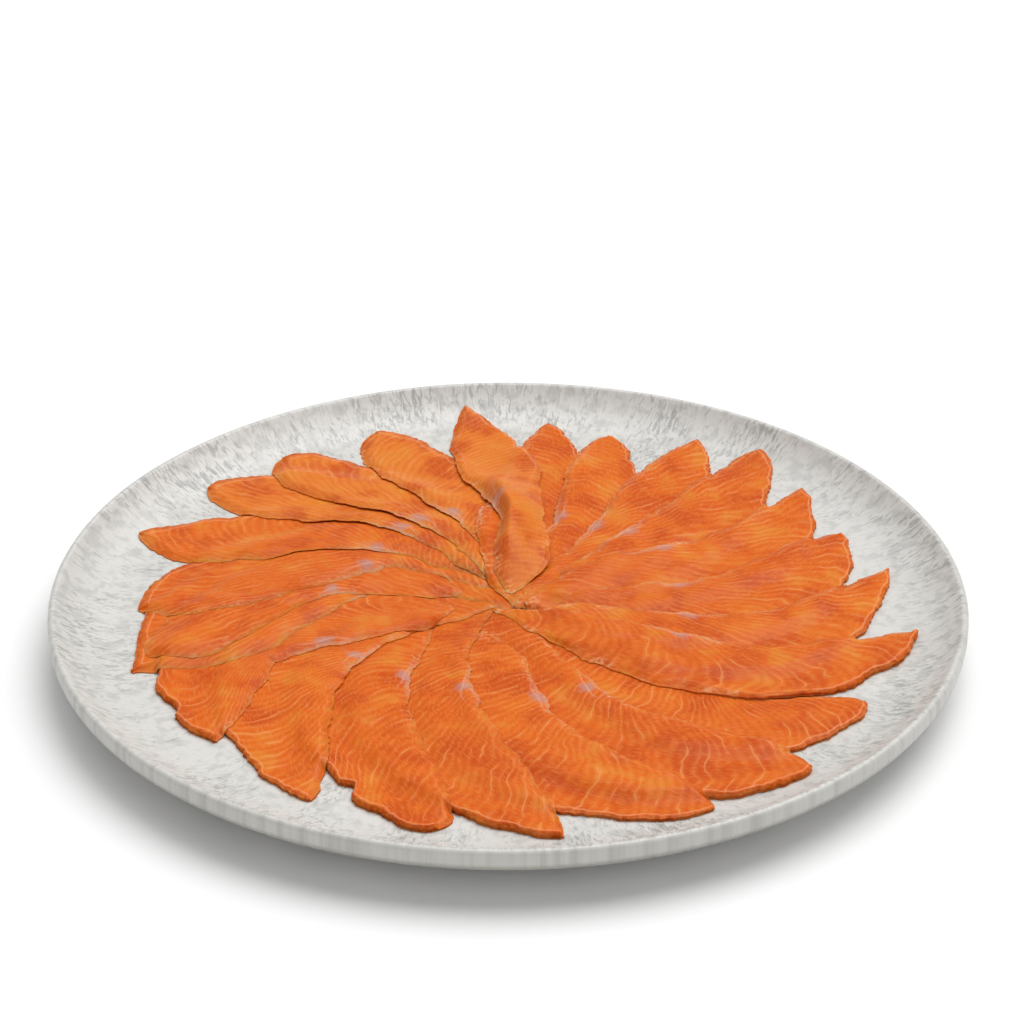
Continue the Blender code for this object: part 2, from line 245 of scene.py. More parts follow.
def slice_outline(row, along):
    """Spine points, sideways directions (to the counter-clockwise edge) and half widths."""
    bearing, reach, lag, bow, crook, sway, width, taper, point = row[:9]
    tip, root = towards(bearing, reach * MM), towards(bearing - lag, ROOT_REACH)
    run = tip - root
    left = np.array([-run[1], run[0]]) / np.hypot(*run)
    skew = math.log(0.5) / math.log(crook)

    def spine(share):
        turn = math.pi * np.sign(share) * np.abs(share) ** skew
        bend = bow * MM * np.sin(turn) + sway * MM * np.sin(2 * turn)
        return HUB + root + share[:, None] * run + bend[:, None] * left

    ahead = spine(np.minimum(along + LOOK_AHEAD, 1.0)) - spine(along - LOOK_AHEAD)
    ahead /= np.hypot(ahead[:, 0], ahead[:, 1])[:, None]
    swell = ROOT_SHARE + (1 - ROOT_SHARE) * np.sin(math.pi / 2 * np.clip(along / SWELL_END, 0, 1))
    narrowing = np.clip((along - taper) / (1 - taper), 0.0, 1.0)
    half_width = width * MM / 2 * swell * (1 - narrowing ** 2) ** point
    return spine(along), np.stack([-ahead[:, 1], ahead[:, 0]], 1), np.maximum(half_width, TIP_WIDTH / 2)


print("slices:", len(SLICES), "longest reach mm:", max(row[1] for row in SLICES))

# %% [markdown]
# ## A knife's edge is never straight
# Salmon muscle is built of flakes some 4 mm thick with soft fat between them, so a cut slice ends
# in small scallops, with a nick here and there where a flake came away. Random points would give
# a fuzzy edge. A few waves of different lengths, added up, wander the way the real one does.

# %% Wandering lines and ragged edges
FLAKE = 4.2                              # thickness of a flake at the cut edge, mm


def wander(place, seed, waves):
    """A smooth, aimless line: waves of (length mm, size mm) over a place in mm."""
    chance = np.random.default_rng(seed)
    line = np.zeros_like(place, dtype=float)
    for length, size in waves:
        turned = 2 * math.pi * place / (length * chance.uniform(0.85, 1.2))
        line += size * np.sin(turned + chance.uniform(0, 6.28))
    return line


def ragged(place, seed, depth):
    """How far an edge stands in or out, mm: broad waves, flake scallops and fine nicks."""
    flakes = place / FLAKE + wander(place, seed + 7, ((17, 0.30), (9, 0.12)))
    scallop = np.abs(np.sin(math.pi * flakes)) ** 0.6 - 0.75
    patches = np.clip(0.55 + wander(place, seed + 9, ((31, 0.5), (19, 0.3))), 0.1, 1.0)
    broad = wander(place, seed + 3, ((27, 0.45), (14, 0.30), (7.5, 0.16)))
    fine = wander(place, seed + 5, ((4.1, 0.12), (2.7, 0.12)))
    return depth * (broad + 0.55 * scallop * patches + fine)


sample = ragged(np.linspace(0, 130, 500), 1, 1.0)
print("edge wanders between mm:", round(sample.min(), 2), round(sample.max(), 2))

# %% [markdown]
# ## What lies below
# A slice rests on the plate and on all slices laid before it. Cloth simulation would work that
# out, but twenty-three sheets on top of each other are slow to settle. A height map is quicker:
# a square grid over the plate, which holds the top of everything laid so far. It starts as the
# plate's well.

# %% The height map
CELL, HALF = 0.5 * MM, 151 * MM          # spacing of the map, and half its side
COUNT = int(round(2 * HALF / CELL)) + 1


def well_map():
    axis = np.arange(COUNT) * CELL - HALF
    radius = np.hypot(*np.meshgrid(axis, axis))
    profile = well_section()
    return np.interp(radius, profile[:, 0], profile[:, 1])


def read_map(field, plan):
    """The map's height at any places, read between its points."""
    column, row = np.moveaxis((plan + HALF) / CELL, -1, 0)
    x, y = np.floor(column).astype(int), np.floor(row).astype(int)
    u, v = column - x, row - y
    low = field[y, x] * (1 - u) + field[y, x + 1] * u
    high = field[y + 1, x] * (1 - u) + field[y + 1, x + 1] * u
    return low * (1 - v) + high * v


def around(field):
    """Sum of the four neighbours."""
    total = np.zeros_like(field)
    total[1:] += field[:-1]
    total[:-1] += field[1:]
    total[:, 1:] += field[:, :-1]
    total[:, :-1] += field[:, 1:]
    return total


def grown(field, steps):
    """The highest value within so many steps."""
    for step in range(steps):
        wide = field.copy()
        wide[1:] = np.maximum(wide[1:], field[:-1])
        wide[:-1] = np.maximum(wide[:-1], field[1:])
        wide[:, 1:] = np.maximum(wide[:, 1:], field[:, :-1])
        wide[:, :-1] = np.maximum(wide[:, :-1], field[:, 1:])
        field = wide
    return field


WELL = well_map()
support = WELL.copy()
print("map cells:", support.shape, "well mm:", round(support[COUNT // 2, COUNT // 2] / MM, 2))

# %% [markdown]
# ## Letting a slice fall
# Thin raw fish is as limp as wet cloth: it lies flat on what is under it and bridges the small
# step where the slice below ends. A slice starts on the map. Then every spot is pulled, again
# and again, to the mean of its neighbours, less a little sag, without ever sinking into what
# lies below. When the slice has settled, the map is raised to its upper side.

# %% The drape
AIR = 0.03 * MM                          # film between slices
SAG = 0.006 * MM                         # how much a spot sinks in one sweep
SWEEPS, EASE = 170, 7                    # rounds of pulling, and of smoothing afterwards
MARGIN = 5                               # cells of the map kept free round a slice


def samples(grid, steps=5):
    """Points spread evenly inside every cell of a grid of vertices, rims included."""
    share = np.linspace(0, 1, steps)
    a, b = [side.reshape(-1, 1, 1, 1) for side in np.meshgrid(share, share)]
    spread = (grid[:-1, :-1] * (1 - a) * (1 - b) + grid[1:, :-1] * a * (1 - b)
              + grid[:-1, 1:] * (1 - a) * b + grid[1:, 1:] * a * b)
    return spread.reshape(-1, grid.shape[-1])


def drape(support, plan):
    """Height of the slice's underside over the map, for the slice's vertices."""
    cells = np.round((samples(plan) + HALF) / CELL).astype(int)
    low, high = cells.min(0) - MARGIN, cells.max(0) + MARGIN + 1
    window = (slice(low[1], high[1]), slice(low[0], high[0]))
    under = np.zeros(support.shape, bool)
    under[cells[:, 1], cells[:, 0]] = True
    inside = grown(under[window].astype(float), 2)
    resting = grown(support[window], 1) + AIR
    share = np.maximum(around(inside), 1.0)
    height = resting.copy()
    for sweep in range(SWEEPS):
        height = np.maximum(resting, around(height * inside) / share - SAG)
    for sweep in range(EASE):
        height = np.where(inside > 0, 0.5 * height + 0.5 * around(height * inside) / share, height)
    whole = support.copy()
    whole[window] = np.where(inside > 0, height, resting)
    return read_map(whole, plan)


def lay_over(support, plan, top):
    """Raise the map to the upper side of the slice just laid."""
    spread = samples(np.concatenate([plan, top[:, :, None]], 2))
    cells = np.round((spread[:, :2] + HALF) / CELL).astype(int)
    np.maximum.at(support, (cells[:, 1], cells[:, 0]), spread[:, 2])


print("rounds of pulling:", SWEEPS, "of smoothing:", EASE)

# %% [markdown]
# ## The outline of one slice
# A slice is a grid of vertices bent along its spine. The grid is closer together at the edges,
# where the form changes fastest. Both long edges get their own ragged line, calmer where the
# slice is narrow, and three slices have a torn place.

# %% A grid bent to the outline
ALONG, ACROSS = 150, 34                  # faces of the grid
CLOSE_TIP, CLOSE_EDGES = 1.6, 1.8        # how much closer together they are there; 1 is even
ROOT_END, ROOT_NARROW = 0.07, 0.2        # the root grows from 0.2 of its width, over 0.07 of the length
RAGGED_LEFT, RAGGED_RIGHT = 1.0, 1.1     # how ragged the two long edges are
CALM_UNDER = 6 * MM                      # half a width below this has a calmer edge
# torn places in the far edge: where along the slice, and how deep in mm
NOTCHES = {5: (0.80, 3.2), 7: (0.90, 2.0), 22: (0.86, 1.4)}
NOTCH_HALF = 0.030                       # half the length of a torn place, as a share of the slice


def smooth(share):
    share = np.clip(share, 0, 1)
    return share * share * (3 - 2 * share)


def bump(share, middle, length):
    return np.cos(math.pi / 2 * np.clip((share - middle) / length, -1.0, 1.0)) ** 2


def slice_plan(number, row):
    """Places on the table, how far along and across they are, mm travelled and mm sideways."""
    even = np.linspace(0, 1, ALONG + 1)
    along = row[9] + (1 - row[9]) * (1 - (1 - even) ** CLOSE_TIP)
    spread = np.linspace(-1, 1, ACROSS + 1)
    across = np.sign(spread) * (1 - (1 - np.abs(spread)) ** CLOSE_EDGES)
    spine, sideways, half = slice_outline(row, along)
    half = half * (ROOT_NARROW + (1 - ROOT_NARROW) * np.sqrt(smooth(even / ROOT_END)))
    if number == len(SLICES):
        half = half * (1 - WAIST * bump(along, PLEAT_MIDDLE, PLEAT_LENGTH))
        half = half * (1 + 0.20 * bump(along, 0.05, 0.20))
    travelled = np.concatenate([[0], np.cumsum(np.hypot(*np.diff(spine, axis=0).T))]) / MM
    room = smooth(half / CALM_UNDER)
    left = half + ragged(travelled, 100 * number, RAGGED_LEFT) * MM * room
    right = half + ragged(travelled, 100 * number + 50, RAGGED_RIGHT) * MM * room
    if number in NOTCHES:
        place, depth = NOTCHES[number]
        right = right - depth * MM * bump(along, place, NOTCH_HALF)
        right = right + 0.4 * depth * MM * bump(along, place + 0.05, NOTCH_HALF)
    reach = np.where(across[None, :] > 0, left[:, None], right[:, None]) * across[None, :]
    plan = spine[:, None, :] + sideways[:, None, :] * reach[:, :, None]
    return plan, along, across, travelled, reach / MM


print("vertices in one slice's grid:", (ALONG + 1) * (ACROSS + 1))

# %% [markdown]
# ## How far the rim is
# Thickness, droop and colour all change with the distance from the cut edge. The outer vertices
# are followed once round, and each vertex is measured to the nearest stretch between two of
# them. The array is worked row by row, which keeps it small.

# %% Distance from the rim
def rim_loop(rows, columns):
    """Row and column of the grid's outer vertices, once round."""
    first = [(0, j) for j in range(columns)]
    right = [(i, columns - 1) for i in range(1, rows)]
    last = [(rows - 1, j) for j in range(columns - 2, -1, -1)]
    left = [(i, 0) for i in range(rows - 2, 0, -1)]
    return np.array(first + right + last + left)


def rim_distance(plan, loop):
    """Distance of each vertex from the nearest stretch of the outline, in mm."""
    start = plan[loop[:, 0], loop[:, 1]]
    run = np.roll(start, -1, 0) - start
    square = np.maximum((run ** 2).sum(1), 1e-16)
    nearest = np.full(plan.shape[:2], 1.0)
    for i in range(plan.shape[0]):
        away = plan[i][:, None] - start
        share = np.clip((away * run).sum(2) / square, 0, 1)
        nearest[i] = np.sqrt(((away - share[..., None] * run) ** 2).sum(2)).min(1)
    return nearest / MM


print("vertices round the rim:", len(rim_loop(ALONG + 1, ACROSS + 1)))

# %% [markdown]
# ## How a slice settles
# The middle of a slice bridges small steps, but its edge droops onto whatever is below. Slices
# with a thin edge droop over a wider strip. On the left the edges are so thin and moist that
# they stick to the fish below and show no gap, so they are let in by a sixth of a millimetre.
# The folded slice is pinched into a pleat, and a few others have one edge lifted a little.

# %% Droop, sticking edges and the pleat
THIN_EDGED = range(8, 15)                # slices with a long thin edge
DROOP, DROOP_THIN = 3.0, 6.0             # width of the drooping strip, mm
ROLL = 0.14 * MM                         # height of the soft waves in the flesh
STUCK = (7, 8, 9, 10, 11)                # slices whose edge sticks to the fish below
STUCK_DEPTH, STUCK_WIDTH = 0.16 * MM, 2.5
PLEAT_HEIGHT = 6.5 * MM


def raised(row, along, across, folded):
    """Extra height in metres: a lifted edge, or the pinched pleat of the folded slice."""
    edge = np.clip(across, 0, 1)[None, :] ** 2
    lift = row[10] * MM * bump(along, 0.55, 0.30)[:, None] * edge
    if folded:
        ridge = np.where(across > 0.45, smooth((1 - across) / 0.55),
                         0.52 + 0.48 * smooth((across + 1) / 1.45))
        crest = bump(along, PLEAT_MIDDLE - 0.02, PLEAT_LENGTH)[:, None] ** 0.8
        lift = lift + PLEAT_HEIGHT * crest * ridge[None, :]
    return lift


def settled(number, row, plan, rim, along, across):
    """Height of the underside, and where (0 to 1) the edge sticks to a slice below."""
    under = drape(support, plan)
    x, y = plan[:, :, 0] / MM, plan[:, :, 1] / MM
    rolling = (wander(x + 0.4 * y, 100 * number + 11, ((37, 1), (23, 0.7)))
               * wander(y - 0.3 * x, 100 * number + 13, ((33, 1), (19, 0.6))))
    under = under + ROLL * (rolling + 1.2) * smooth(rim / 8)
    droop = smooth(rim / (DROOP_THIN if number in THIN_EDGED else DROOP))
    under = read_map(grown(support, 1), plan) * (1 - droop) + under * droop
    under = under + AIR * (1 - droop) + raised(row, along, across, number == len(SLICES))
    stuck = np.zeros_like(rim)
    if number in STUCK:
        stuck = smooth(read_map(support - WELL, plan) / (0.8 * MM))
    return under - STUCK_DEPTH * stuck * (1 - smooth(rim / STUCK_WIDTH)), stuck


print("slices with a thin edge:", len(THIN_EDGED), "stuck to the one below:", len(STUCK))

# %% [markdown]
# ## Cut edges
# A carpaccio knife goes through at a slant, so one long edge of a slice runs out thin and the
# other keeps its full thickness near the tip, where the cut stands steep. The slice swells to
# its full 1.5 mm within a few millimetres from the rim. Some slices have a thicker heel, where
# the knife left the fish.

# %% Thickness from the distance to the rim
THICK = 1.5 * MM
SLANT, SLANT_THIN, SLANT_STEEP = 3.4, 5.2, 2.2       # width of the cut, mm; a steep cut takes 2.2 off
RIM_SHARE, RIM_THIN, RIM_STEEP = 0.26, 0.08, 0.46    # thickness at the rim; a steep cut adds 0.46
TIP_FROM, TIP_OVER = 0.42, 0.35                      # where along the slice the steep part comes in
HEEL_WIDTH = 9                                       # width of the thicker heel, mm


def thickness(number, along, across, travelled, rim, stuck, heel_extra):
    """Thickness in metres, width of the slanted cut in mm, and how steep the cut stands."""
    thin = ROOT_THIN + (1 - ROOT_THIN) * np.sin(math.pi / 2 * np.clip(along / SWELL_END, 0, 1))
    thin = np.repeat(thin[:, None], ACROSS + 1, 1)
    tip_side = smooth((along - TIP_FROM) / TIP_OVER)[:, None]
    steep = tip_side * (0.35 + 0.65 * smooth(0.6 - across * 2.5)[None, :]) * (1 - 0.9 * stuck)
    along_mm = np.repeat(travelled[:, None], ACROSS + 1, 1)
    uneven = wander(along_mm, 100 * number + 17, ((21, 0.4), (9, 0.25)))
    thin_edged = number in THIN_EDGED
    slant = (SLANT_THIN if thin_edged else SLANT) - SLANT_STEEP * steep + uneven
    slant = slant * np.maximum(thin, 0.5)
    least = (RIM_THIN if thin_edged else RIM_SHARE) + RIM_STEEP * steep
    thick = THICK * thin * (least + (1 - least) * smooth(rim / slant))
    heel = tip_side * smooth(0.5 - across * 3)[None, :]
    heel = heel_extra * MM * heel * (1 - smooth((rim - 1) / HEEL_WIDTH)) * smooth(rim / 1.2 + 0.35)
    return thick + heel, slant, steep


one_in = RIM_SHARE + (1 - RIM_SHARE) * float(smooth(1 / SLANT))
print("share of the full thickness 1 mm in from the rim:", round(one_in, 2))

# %% [markdown]
# ## One closed skin
# Each slice gets an upper side, a lower side and a ring of vertices between them, so the cut
# edge is slightly round. Each vertex also carries what the material needs to know about the fish
# at that spot, stored as attributes that the shader reads by name.

# %% Skin and attributes
RING_HIGH, RING_OUT = 0.28, 0.26         # the ring's height and how far it stands out, of the thickness


def closed_skin(name, plan, under, top, loop):
    """Upper side, lower side and the ring between them; and the rim's places in the grid."""
    columns = plan.shape[1]
    upper = np.concatenate([plan, top[:, :, None]], 2).reshape(-1, 3)
    lower = np.concatenate([plan, under[:, :, None]], 2).reshape(-1, 3)
    flat = loop[:, 0] * columns + loop[:, 1]
    outline = plan[loop[:, 0], loop[:, 1]]
    forward = np.roll(outline, -1, 0) - np.roll(outline, 1, 0)
    outward = np.stack([forward[:, 1], -forward[:, 0]], 1) / np.maximum(np.hypot(*forward.T), 1e-9)[:, None]
    edge_thick = (upper - lower)[flat, 2]
    ring = RING_HIGH * upper[flat] + (1 - RING_HIGH) * lower[flat]
    ring[:, :2] += outward * (RING_OUT * edge_thick)[:, None]
    i, j = np.meshgrid(np.arange(ALONG), np.arange(ACROSS), indexing="ij")
    a = (i * columns + j).ravel()
    quads = np.stack([a, a + 1, a + columns + 1, a + columns], 1)
    whole = len(upper)
    here, there = np.arange(len(flat)), np.roll(np.arange(len(flat)), -1)
    side_up = np.stack([flat[here], flat[there], 2 * whole + there, 2 * whole + here], 1)
    side_low = np.stack([2 * whole + here, 2 * whole + there, whole + flat[there], whole + flat[here]], 1)
    faces = np.concatenate([quads[:, ::-1], quads + whole, side_up[:, ::-1], side_low[:, ::-1]])
    return mesh_from(name, np.concatenate([upper, lower, ring]), faces.tolist()), flat


def tell_material(mesh, flat, title, values):
    """Store a number or vector for every vertex of the upper side, the lower side and the ring."""
    size = 3 if values.ndim == 3 else 1
    values = values.reshape(-1, size)
    layer = mesh.attributes.new(title, "FLOAT_VECTOR" if size == 3 else "FLOAT", "POINT")
    everywhere = np.concatenate([values, values, values[flat]]).astype(np.float32)
    layer.data.foreach_set("vector" if size == 3 else "value", everywhere.ravel())


print("faces in one slice's skin:", 2 * ALONG * ACROSS + 4 * (ALONG + ACROSS))

# %% [markdown]
# ## Laying the slices
# The slices are laid one after the other, from the first to the folded one, and each one raises
# the height map for the next. The material is told where each vertex is along and across the
# slice, which flake it is in, how far the rim is, and where the dark trace of the fillet's
# middle runs. The flakes lie in a different direction in every slice, because the fillet turned
# under the knife.

# %% Build the slices
# how the fat lines run: turn from across the slice, degrees; bend; flake mm; thicker heel mm
MARBLING = (
    (20, 0.030, 2.6, 0.3), (12, 0.020, 3.6, 1.0), (14, 0.018, 3.3, 0.2), (38, 0.012, 2.9, 1.0),
    (48, -0.020, 2.6, 0.9), (32, 0.034, 2.8, 0.3), (62, 0.060, 2.2, 0.8), (74, 0.012, 2.6, 0.3),
    (80, 0.010, 2.8, 0.3), (72, 0.020, 2.7, 0.3), (28, 0.034, 2.9, 0.2), (70, 0.020, 2.9, 0.2),
    (56, 0.024, 3.1, 0.2), (30, 0.024, 2.8, 0.2), (-34, 0.030, 2.8, 0.2), (-30, 0.024, 2.9, 0.2),
    (50, 0.026, 2.8, 0.2), (58, 0.030, 3.1, 0.2), (56, 0.036, 3.2, 0.2), (46, 0.040, 3.1, 0.2),
    (42, 0.038, 3.2, 0.3), (34, 0.044, 3.3, 0.8), (22, 0.030, 2.3, 0.2),
)
TRACE_REACH = 63 * MM                    # the trace crosses every slice this far from the middle
TRACE_ACROSS = 0.84                      # and this far towards its thin edge
AMBER_SLICES, AMBER_TONE = (12, 13, 14, 23), -1.2
# how many pale specks a slice gets: crumbs of fat, and painted glints where edges catch the light
FEW_CRUMBS_AND_GLINTS, MANY_CRUMBS_AND_GLINTS = 0.35, 0.80


def lay_slice(name, number, row, marbling):
    turn, bend, flake, heel_extra = marbling
    plan, along, across, travelled, sideways_mm = slice_plan(number, row)
    loop = rim_loop(*plan.shape[:2])
    rim = rim_distance(plan, loop)
    under, stuck = settled(number, row, plan, rim, along, across)
    thick, slant, steep = thickness(number, along, across, travelled, rim, stuck, heel_extra)
    top = under + thick
    lay_over(support, plan, top)
    mesh, flat = closed_skin(name, plan, under, top, loop)

    along_mm = np.repeat(travelled[:, None], ACROSS + 1, 1)
    flakes = (math.cos(math.radians(turn)) * along_mm + math.sin(math.radians(turn)) * sideways_mm
              + bend * sideways_mm ** 2) / flake
    spine = slice_outline(row, along)[0]
    marked = int(np.argmin(np.abs(np.hypot(*(spine - HUB).T) - TRACE_REACH)))
    off = sideways_mm - TRACE_ACROSS * sideways_mm[marked, -1]
    off = off + wander(along_mm, number, ((40, 0.8), (13, 0.3)))
    tone = AMBER_TONE if number in AMBER_SLICES else (number * 0.381) % 1.0
    # the slices at the right and the back get more: their edges catch the light, so more painted glints
    crumbs_and_glints = FEW_CRUMBS_AND_GLINTS if 4 <= number <= 14 else MANY_CRUMBS_AND_GLINTS
    # the third number of lie sets the slices 37 mm apart, so no two have the same pattern
    lie = np.stack([along_mm, sideways_mm, np.full_like(along_mm, 37.0 * number)], 2)
    from_trace = np.stack([along_mm - travelled[marked], off, off * 0], 2)
    told = {"lie": lie, "mark": from_trace, "grain": flakes, "rim": rim, "slant": slant, "steep": steep,
            "crumbs_and_glints": np.full_like(rim, crumbs_and_glints), "tone": np.full_like(rim, tone)}
    for title, values in told.items():
        tell_material(mesh, flat, title, values)
    mesh.set_sharp_from_angle(angle=math.radians(58))
    made = bpy.data.objects.new(name, mesh)
    bpy.context.scene.collection.objects.link(made)
    return made


slices = {}
for number, (name, row, marbling) in enumerate(zip(names, SLICES, MARBLING), start=1):
    slices[name] = lay_slice(name + "_cut", number, row, marbling)
print("slices made:", len(slices), "top of the pile mm:", round(support.max() / MM, 2))
print("triangles per slice:", 2 * len(slices[names[0]].data.polygons))

# %% [markdown]
# ## A glaze that turns with the plate
# The plate is stoneware with a reactive matt-satin glaze: an off-white ground in which iron and
# manganese specks run and stretch as it melts. On the flat well they stay short; on the wall
# they run along the slope. So the noise is read in a frame that turns with the plate, fine round
# the ring and long from the middle outwards.

# %% Frames for the specks
glaze, tree = new_material("stoneware_reactive_glaze")
place = add(tree, "TexCoord", {}).outputs["Object"]
split = add(tree, "SeparateXYZ", {0: place}).outputs
flat_place = add(tree, "CombineXYZ", {"X": split["X"], "Y": split["Y"]}).outputs[0]
radius = add(tree, "VectorMath", {0: flat_place}, operation="LENGTH").outputs["Value"]
compass = add(tree, "VectorMath", {0: flat_place}, operation="NORMALIZE").outputs[0]
# 0 on the flat well and 1 on the upper wall, 138 mm from the middle
wall = add(tree, "MapRange", {"Value": radius, "From Min": 0.112, "From Max": 0.138},
           interpolation_type="SMOOTHSTEP").outputs[0]
# specks on the well are blots about 1.5 mm wide (138 mm / 92) and 2.4 mm long (1 m / 420)
around_well = add(tree, "VectorMath", {0: compass, "Scale": 92.0}, operation="SCALE").outputs[0]
out_well = add(tree, "Math", {0: radius, 1: 420.0}, operation="MULTIPLY").outputs[0]
upright_well = add(tree, "CombineXYZ", {"Z": out_well}).outputs[0]
well_frame = add(tree, "VectorMath", {0: around_well, 1: upright_well}, operation="ADD").outputs[0]
# streaks on the wall are about 1.4 mm wide (146 mm / 104) and 3.7 mm long (1 m / 270)
around_wall = add(tree, "VectorMath", {0: compass, "Scale": 104.0}, operation="SCALE").outputs[0]
out_wall = add(tree, "Math", {0: radius, 1: 270.0}, operation="MULTIPLY").outputs[0]
upright_wall = add(tree, "CombineXYZ", {"Z": out_wall}).outputs[0]
wall_frame = add(tree, "VectorMath", {0: around_wall, 1: upright_wall}, operation="ADD").outputs[0]
print("glaze nodes for the frames:", len(tree.nodes))

# %% [markdown]
# ## Specks
# A speck is a place where the noise stands high. A high threshold leaves a few dark flecks and a
# lower one gives the many soft grey blots. A second, broader noise makes both crowd together in
# some places. Both are a little denser on the plate's right side than on its left.

# %% Dark flecks and soft blots
well_specks = add(tree, "TexNoise", {"Vector": well_frame, "Scale": 1.0, "Detail": 3.0,
                                     "Roughness": 0.6, "Distortion": 0.8}).outputs[0]
wall_specks = add(tree, "TexNoise", {"Vector": wall_frame, "Scale": 1.0, "Detail": 3.0,
                                     "Roughness": 0.6, "Distortion": 0.9}).outputs[0]
specks = add(tree, "Mix", {0: wall, 2: well_specks, 3: wall_specks}).outputs[0]
# places where specks crowd are about 24 mm across (1 m / 42)
crowd = add(tree, "TexNoise", {"Vector": place, "Scale": 42.0, "Detail": 3.0}).outputs[0]
crowd_level = add(tree, "MapRange", {"Value": crowd, "From Min": 0.35, "From Max": 0.65}).outputs[0]
crowd_lift = add(tree, "Math", {0: crowd, 1: 0.34}, operation="MULTIPLY").outputs[0]
crowded = add(tree, "Math", {0: specks, 1: crowd_lift}, operation="ADD").outputs[0]
dark_fleck = add(tree, "MapRange", {"Value": crowded, "From Min": 0.70, "From Max": 0.86, "To Max": 0.55},
                 interpolation_type="SMOOTHSTEP").outputs[0]
soft_blot = add(tree, "MapRange", {"Value": specks, "From Min": 0.45, "From Max": 0.58},
                interpolation_type="SMOOTHSTEP").outputs[0]
soft_depth = add(tree, "MapRange", {"Value": crowd_level, "To Min": 0.15, "To Max": 0.95}).outputs[0]
soft_fleck = add(tree, "Math", {0: soft_blot, 1: soft_depth}, operation="MULTIPLY").outputs[0]
# specks are a little denser towards the plate's right side than on its left
side = add(tree, "VectorMath", {0: compass, 1: (0.94, -0.34, 0.0)}, operation="DOT_PRODUCT").outputs["Value"]
denser_right = add(tree, "MapRange", {"Value": side, "From Min": -0.9, "From Max": 0.8,
                               "To Min": 0.72, "To Max": 0.78}).outputs[0]
soft_fleck = add(tree, "Math", {0: soft_fleck, 1: denser_right}, operation="MULTIPLY").outputs[0]
dark_fleck = add(tree, "Math", {0: dark_fleck, 1: denser_right}, operation="MULTIPLY").outputs[0]
print("glaze nodes with specks:", len(tree.nodes))

# %% [markdown]
# ## Ground and clouds
# The off-white ground is never one even colour: it drifts over broad patches, and soft grey
# clouds lie in it. The soft blots and the dark flecks are laid over both.

# %% Colour of the glaze inside the plate
# patches about 62 mm across (1 m / 16)
cloud = add(tree, "TexNoise", {"Vector": place, "Scale": 16.0, "Detail": 3.0}).outputs[0]
ground = add(tree, "Mix", {0: cloud, 6: linear("#dad8d4"), 7: linear("#cecdc8")}, data_type="RGBA").outputs[2]
# clouds about 5 mm across (1 m / 210)
mottle = add(tree, "TexNoise", {"Vector": place, "Scale": 210.0, "Detail": 2.0}).outputs[0]
mottled = add(tree, "MapRange", {"Value": mottle, "From Min": 0.48, "From Max": 0.66, "To Max": 0.50},
              interpolation_type="SMOOTHSTEP").outputs[0]
ground = add(tree, "Mix", {0: mottled, 6: ground, 7: linear("#b2b3af")}, data_type="RGBA").outputs[2]
ground = add(tree, "Mix", {0: soft_fleck, 6: ground, 7: linear("#afb0ac")}, data_type="RGBA").outputs[2]
ground = add(tree, "Mix", {0: dark_fleck, 6: ground, 7: linear("#7c7e7a")}, data_type="RGBA").outputs[2]
print("glaze nodes with the ground:", len(tree.nodes))

# %% [markdown]
# ## Lip and foot
# Over the lip the glaze breaks thinner and warmer, and blots run down over it. Under the turn of
# the lip, where the surface faces down, a darker grey is painted in as shade. The foot ring is left
# bare, as it must be so that the plate does not stick to the kiln shelf.

# %% Lip, bare foot and satin surface
lip = add(tree, "MapRange", {"Value": radius, "From Min": 0.1475, "From Max": 0.1492},
          interpolation_type="SMOOTHSTEP").outputs[0]
# blots about 4.4 mm wide (149 mm / 34)
lip_place = add(tree, "VectorMath", {0: compass, "Scale": 34.0}, operation="SCALE").outputs[0]
lip_specks = add(tree, "TexNoise", {"Vector": lip_place, "Scale": 1.0, "Detail": 1.0}).outputs[0]
iron = add(tree, "MapRange", {"Value": lip_specks, "From Min": 0.48, "From Max": 0.68,
                              "To Max": 0.34}).outputs[0]
lip_colour = add(tree, "Mix", {0: iron, 6: linear("#cac8c2"), 7: linear("#8f8a80")},
                 data_type="RGBA").outputs[2]
# painted shade: where the lip's surface faces down, its colour is mixed towards a darker grey
facing = add(tree, "SeparateXYZ", {0: add(tree, "NewGeometry", {}).outputs["Normal"]}).outputs["Z"]
painted_shade_under_lip = add(tree, "MapRange", {"Value": facing, "From Min": -0.05, "From Max": -0.50,
                                   "To Max": 0.80}).outputs[0]
lip_colour = add(tree, "Mix", {0: painted_shade_under_lip, 6: lip_colour, 7: linear("#8e8c80")},
                 data_type="RGBA").outputs[2]
lip_share = add(tree, "Math", {0: lip, 1: 0.85}, operation="MULTIPLY").outputs[0]
colour = add(tree, "Mix", {0: lip_share, 6: ground, 7: lip_colour}, data_type="RGBA").outputs[2]
# the foot ring: within 4.5 mm of an 84 mm circle, and less than 0.7 mm above the table
low = add(tree, "MapRange", {"Value": split["Z"], "From Min": 0.0007, "From Max": 0.0003}).outputs[0]
foot = add(tree, "Math", {0: radius, 1: 0.084, 2: 0.0045}, operation="COMPARE").outputs[0]
bare = add(tree, "Math", {0: low, 1: foot}, operation="MULTIPLY").outputs[0]
colour = add(tree, "Mix", {0: bare, 6: colour, 7: linear("#b3a48f")}, data_type="RGBA").outputs[2]
satin = add(tree, "MapRange", {"Value": specks, "From Min": 0.3, "From Max": 0.7,
                               "To Min": 0.30, "To Max": 0.46}).outputs[0]
sheen_rough = add(tree, "Mix", {0: bare, 2: satin, 3: 0.85}).outputs[0]
relief = add(tree, "Bump", {"Strength": 0.35, "Distance": 0.0003, "Height": specks}).outputs[0]
body = add(tree, "BsdfPrincipled", {"Base Color": colour, "Roughness": sheen_rough, "IOR": 1.5,
                                    "Normal": relief})
add(tree, "OutputMaterial", {"Surface": body.outputs[0]})
plate.data.materials.append(glaze)
print("glaze nodes:", len(tree.nodes))

